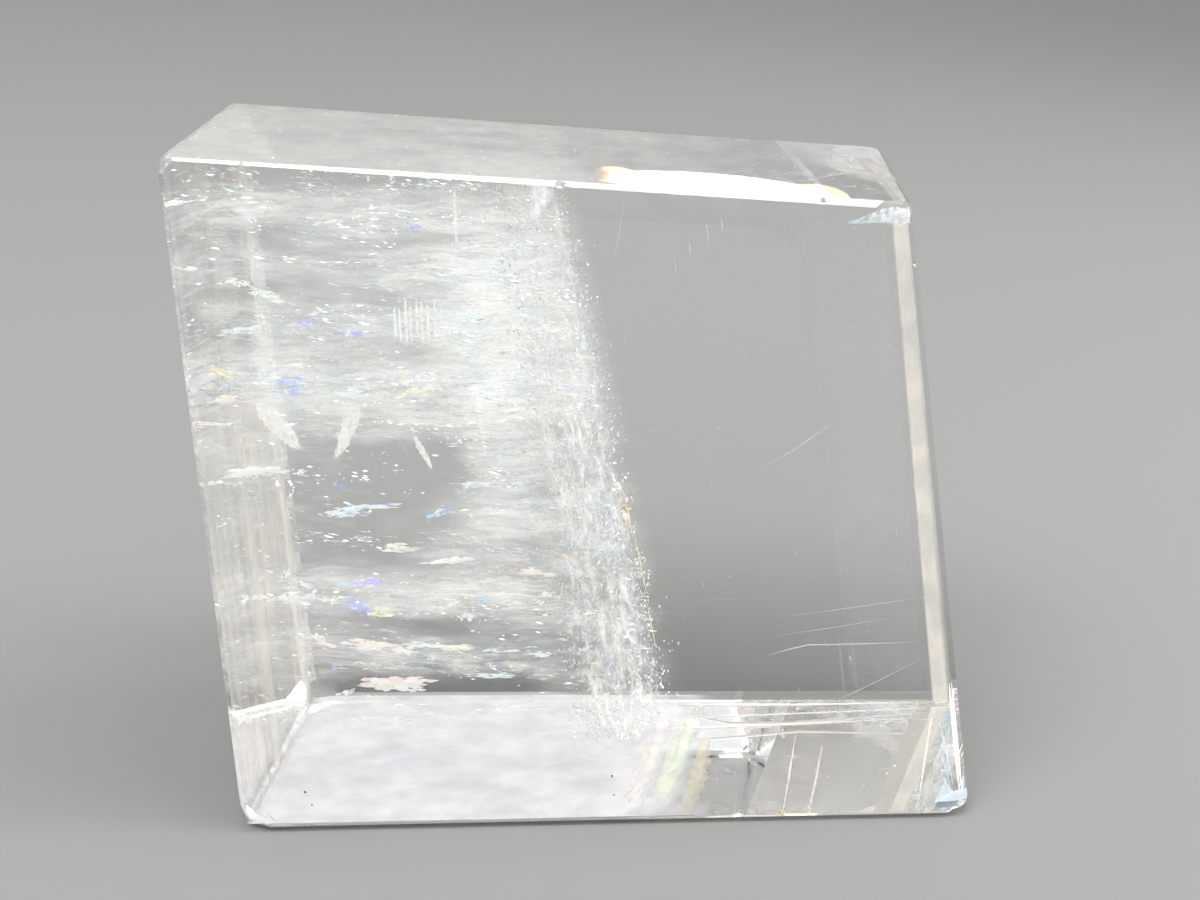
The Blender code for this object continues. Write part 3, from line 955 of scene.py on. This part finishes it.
def add_second_images():
    """What double refraction shows: more than one line along the back lower edge, doubled lines
    and glints in the lower right corner, gleams above the base, and pale bands beside the left
    and right faces. The painted highlight along the facet and the curtain's ochre edge are here too."""
    for number, (pixels, width, tint) in enumerate(EDGE_IMAGES, start=1):
        points = [seen_within(pixel, 0.97) for pixel in pixels]
        add_lines(f"edge_image_{number}", [(points, width * MM)], FLASH, tint)
    for number, (pixels, width, tint) in enumerate(CORNER_IMAGES + BASE_STREAKS, start=1):
        points = [seen_within(pixel, 0.90) for pixel in pixels]
        add_lines(f"corner_image_{number}", [(points, width * MM)], FLASH, tint)
    # A painted highlight: a glowing white line along the facet between the front and the right face.
    facet = [inside(*FACET_HIGHLIGHT_PLACE, high) for high in FACET_HIGHLIGHT_HEIGHTS]
    add_lines("painted_facet_highlight", [(facet, 0.16 * MM)], PAINTED_SPARK)
    plates = [([seen_within(pixel, 0.30) for pixel in outline], 0.02) for outline in CORNER_IMAGE_PLATES]
    add_plates("corner_glints", plates, CHIPPED, 0.03 * MM)
    add_flakes("base_sparks", [seen_within(pixel, 0.5) for pixel in BASE_SPARKS], FLASH, 61,
               (0.30, 0.2, 0.1), (0.34, 0.24, 0.12), tints=(0.40, 0.50))
    bands = veil_finish("pale_band")

    def right_place(u, v):
        y = RIGHT_BAND[0][1] + (RIGHT_BAND[1][1] - RIGHT_BAND[0][1]) * v
        return seen_at((between(RIGHT_BAND, y) + RIGHT_BAND_WIDTH * u, y), RIGHT_BAND_DEPTH)

    def right_cover(u, v):
        strip = smooth(0.0, 0.05, u) * smooth(0.56, 0.42, u)
        line = math.exp(-((u - 0.91) / 0.05) ** 2)
        faint = 0.12 * smooth(0.0, 0.05, u) * smooth(1.0, 0.95, u)
        return 0.85 * strip + (0.70 - 0.40 * v) * line + faint

    add_sheet("right_band", right_place, right_cover, 34, 30, bands)
    for name, spine, widths in GLEAMS:
        add_blade(name, spine, widths, 0.94, 0.10, veil_finish(name), 0.75)
    edges = []
    for top, foot, shift in CURTAIN_EDGE_PARTS:
        line = []
        for y in range(top, foot, 6):
            sway = 1.5 * noise.noise(Vector((0.0, y / 9.0, 7.0)))
            line.append(curtain_point(1.0, y, shift + sway))
        edges.append((line, 0.06 * MM))
    add_lines("curtain_edge", edges, FLASH, 0.48)

    def left_place(u, v):
        return inside(0.006, 0.02 + 0.96 * u, 0.01 + 0.97 * v)

    def left_cover(u, v):
        lines = math.exp(-((u - 0.47) / 0.05) ** 2) + math.exp(-((u - 0.93) / 0.05) ** 2)
        streaks = noise.noise(Vector((u * 16.0, v * 1.2, 4.0)))
        return (0.20 + 0.55 * lines + 0.35 * streaks) * (0.55 + 0.45 * smooth(0.62, 0.45, v))

    add_sheet("left_band", left_place, left_cover, 50, 40, bands)


def add_frosted_faces():
    """The milky base and the faint bloom of fine wear under the top face."""

    def base_place(u, v):
        return inside(0.006 + 0.64 * u, 0.012 + 0.975 * v, 0.007)

    def base_cover(u, v):
        ragged = 0.10 * noise.fractal(Vector((3.0 * v, 9.0 * u, 8.0)), 0.8, 2.0, 3)
        bright = 0.35 * math.exp(-((u - 0.86) / 0.10) ** 2 - ((v - 0.15) / 0.3) ** 2)
        worn = 0.16 * noise.fractal(Vector((9.0 * u, 4.0 * v, 3.0)), 0.8, 2.0, 4)
        return (0.88 + worn + bright) * smooth(0.98, 0.74, u + ragged) * smooth(0.0, 0.02, u)

    add_sheet("milky_base", base_place, base_cover, 80, 40, veil_finish("milky_base"))

    def top_place(u, v):
        return inside(0.012 + 0.976 * u, 0.02 + 0.96 * v, 0.9955)

    def top_cover(u, v):
        worn = noise.fractal(Vector((5.0 * u, 2.0 * v, 1.0)), 0.8, 2.0, 3)
        return 0.75 + 0.12 * worn - 0.38 * smooth(0.45, 0.9, u)

    add_sheet("top_bloom", top_place, top_cover, 60, 24, veil_finish("top_bloom"))


# Studio.

FLOOR_SIZE = 3.0
FLOOR_GAP = 0.00025
FLOOR_COLOR = (0.155, 0.154, 0.151, 1.0)
AIR_LIGHT = 1.0
# The air's colour by height, from level with the floor to straight above.
AIR_COLORS = (
    (0.00, (0.28, 0.28, 0.277, 1.0)), (0.25, (0.50, 0.51, 0.52, 1.0)),
    (0.55, (1.25, 1.27, 1.30, 1.0)), (1.00, (1.70, 1.70, 1.70, 1.0)),
)
# The two large softboxes: place, size and power.
SOFTBOXES = (
    ("top_softbox", (-0.22, -0.10, 0.50), (0.30, 0.30), 3.0),
    ("right_softbox", (0.48, 0.05, 0.30), (0.25, 0.35), 2.5),
)
# Small lamps whose mirror images show in the top face: how far they are from it, then for each
# its image's ends in pixels, its breadth, brightness and colour.
LAMP_DISTANCE = 0.5
GLINTS = (
    ("glint_white", ((610, 177), (832, 197)), 0.0085, 9.0, (1.0, 0.98, 0.94)),
    ("glint_left", ((600, 173), (634, 177)), 0.0055, 5.0, (1.0, 0.55, 0.22)),
    ("glint_right", ((786, 192), (850, 200)), 0.0078, 2.5, (1.0, 0.70, 0.36)),
)
# The lamp mirrored along the top front edge, in the same order.
TOP_EDGE_LAMP = ((150, 157), (912, 206)), 0.10, 9.0, (1.0, 1.0, 1.0)


def make_floor():
    material, tree, shader = shader_material("pale_floor")
    set_inputs(tree, shader, {"Base Color": FLOOR_COLOR, "Roughness": 0.9})
    half = FLOOR_SIZE / 2.0
    corners = [(x, y, -FLOOR_GAP) for x, y in ((-half, -half), (half, -half), (half, half), (-half, half))]
    add_mesh_object("studio_floor", corners, [(0, 1, 2, 3)], material)


def softbox(name, spot, size, power, color=(1.0, 1.0, 1.0)):
    light = bpy.data.lights.new(name, "AREA")
    light.shape = "ELLIPSE"
    light.size, light.size_y = size
    light.energy = power
    light.color = color
    lamp = bpy.data.objects.new(name, light)
    bpy.context.scene.collection.objects.link(lamp)
    lamp.location = spot
    lamp.rotation_euler = (CENTRE - Vector(spot)).to_track_quat("-Z", "Y").to_euler()
    return lamp


def mirror_lamp(name, face, normal, ends, breadth, brightness, color, shape="RECTANGLE"):
    """A lamp whose mirror image shows in a face between two pixels: face is a point of it."""
    normal = normal.normalized()
    spots, hits = [], []
    for pixel in ends:
        ray = pixel_ray(pixel)
        hits.append(where_ray_meets(CAMERA_SPOT, ray, face, normal))
        spots.append(hits[-1] + LAMP_DISTANCE * (ray - 2.0 * ray.dot(normal) * normal))
    span = spots[1] - spots[0]
    lamp = softbox(name, (spots[0] + spots[1]) / 2.0, (span.length, breadth), 1.0, color)
    lamp.data.shape = shape
    area = span.length * breadth
    lamp.data.energy = brightness * math.pi * area
    facing = (spots[0] + spots[1] - hits[0] - hits[1]).normalized()
    upward = facing.cross(span).normalized()
    lamp.rotation_euler = Matrix((upward.cross(facing), upward, facing)).transposed().to_euler()


def make_studio():
    make_floor()
    for name, *looks in GLINTS:
        mirror_lamp(name, inside(0.5, 0.5, 1.0), TOP_NORMAL, *looks, "ELLIPSE")
    mirror_lamp("top_edge_lamp", inside(0.5, 0.0, 1.0), FRONT_NORMAL + TOP_NORMAL, *TOP_EDGE_LAMP)
    world = bpy.data.worlds.new("studio_air")
    world.use_nodes = True
    tree = world.node_tree
    direction = add_node(tree, "ShaderNodeTexCoord").outputs["Generated"]
    height = add_node(tree, "ShaderNodeSeparateXYZ", {"Vector": direction}).outputs["Z"]
    glow = ramp_node(tree, height, AIR_COLORS)
    set_inputs(tree, tree.nodes["Background"], {"Color": glow, "Strength": AIR_LIGHT})
    world.cycles.sampling_method = "NONE"
    bpy.context.scene.world = world
    for name, spot, size, power in SOFTBOXES:
        softbox(name, spot, size, power)


def make_camera():
    data = bpy.data.cameras.new("photo_camera")
    data.sensor_width = SENSOR_WIDTH
    data.lens = PHOTO_FOCAL / PHOTO_SIZE[0] * SENSOR_WIDTH
    data.clip_start = 0.005
    data.clip_end = 10.0
    camera = bpy.data.objects.new("photo_camera", data)
    bpy.context.scene.collection.objects.link(camera)
    turn = Matrix((CAMERA_RIGHT, CAMERA_UP, -CAMERA_FORWARD)).transposed().to_4x4()
    camera.matrix_world = Matrix.Translation(CAMERA_SPOT) @ turn
    bpy.context.scene.camera = camera


# Each flake finish glows in its own colour with painted light; the white spark glows most, as painted
# sparkle.
SILVER = flash_finish("silver_flake", 0.22, 0.85, 0.04)
MILKY = flash_finish("milky_flake", 0.50, 0.0, 0.10)
FLASH = flash_finish("cleavage_flash", 0.30, 0.35, 0.30)
CHIPPED = flash_finish("chipped_calcite", 0.35, 0.3, 0.10)
PAINTED_SPARK = flash_finish("painted_white_spark", 0.20, 0.5, 1.10)
RUSTY = speck_finish()

make_studio()
make_camera()
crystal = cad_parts[NODE]
crystal.data.materials.clear()
crystal.data.materials.append(clear_calcite())
add_veils()
add_cloud_flakes()
add_curtain()
add_flash_plates()
add_blades()
add_marks()
add_second_images()
add_frosted_faces()

bpy.context.scene.view_settings.view_transform = "Standard"
cycles = bpy.context.scene.cycles
cycles.max_bounces = 10
cycles.transmission_bounces = 10
cycles.glossy_bounces = 8
cycles.diffuse_bounces = 2
cycles.transparent_max_bounces = 12
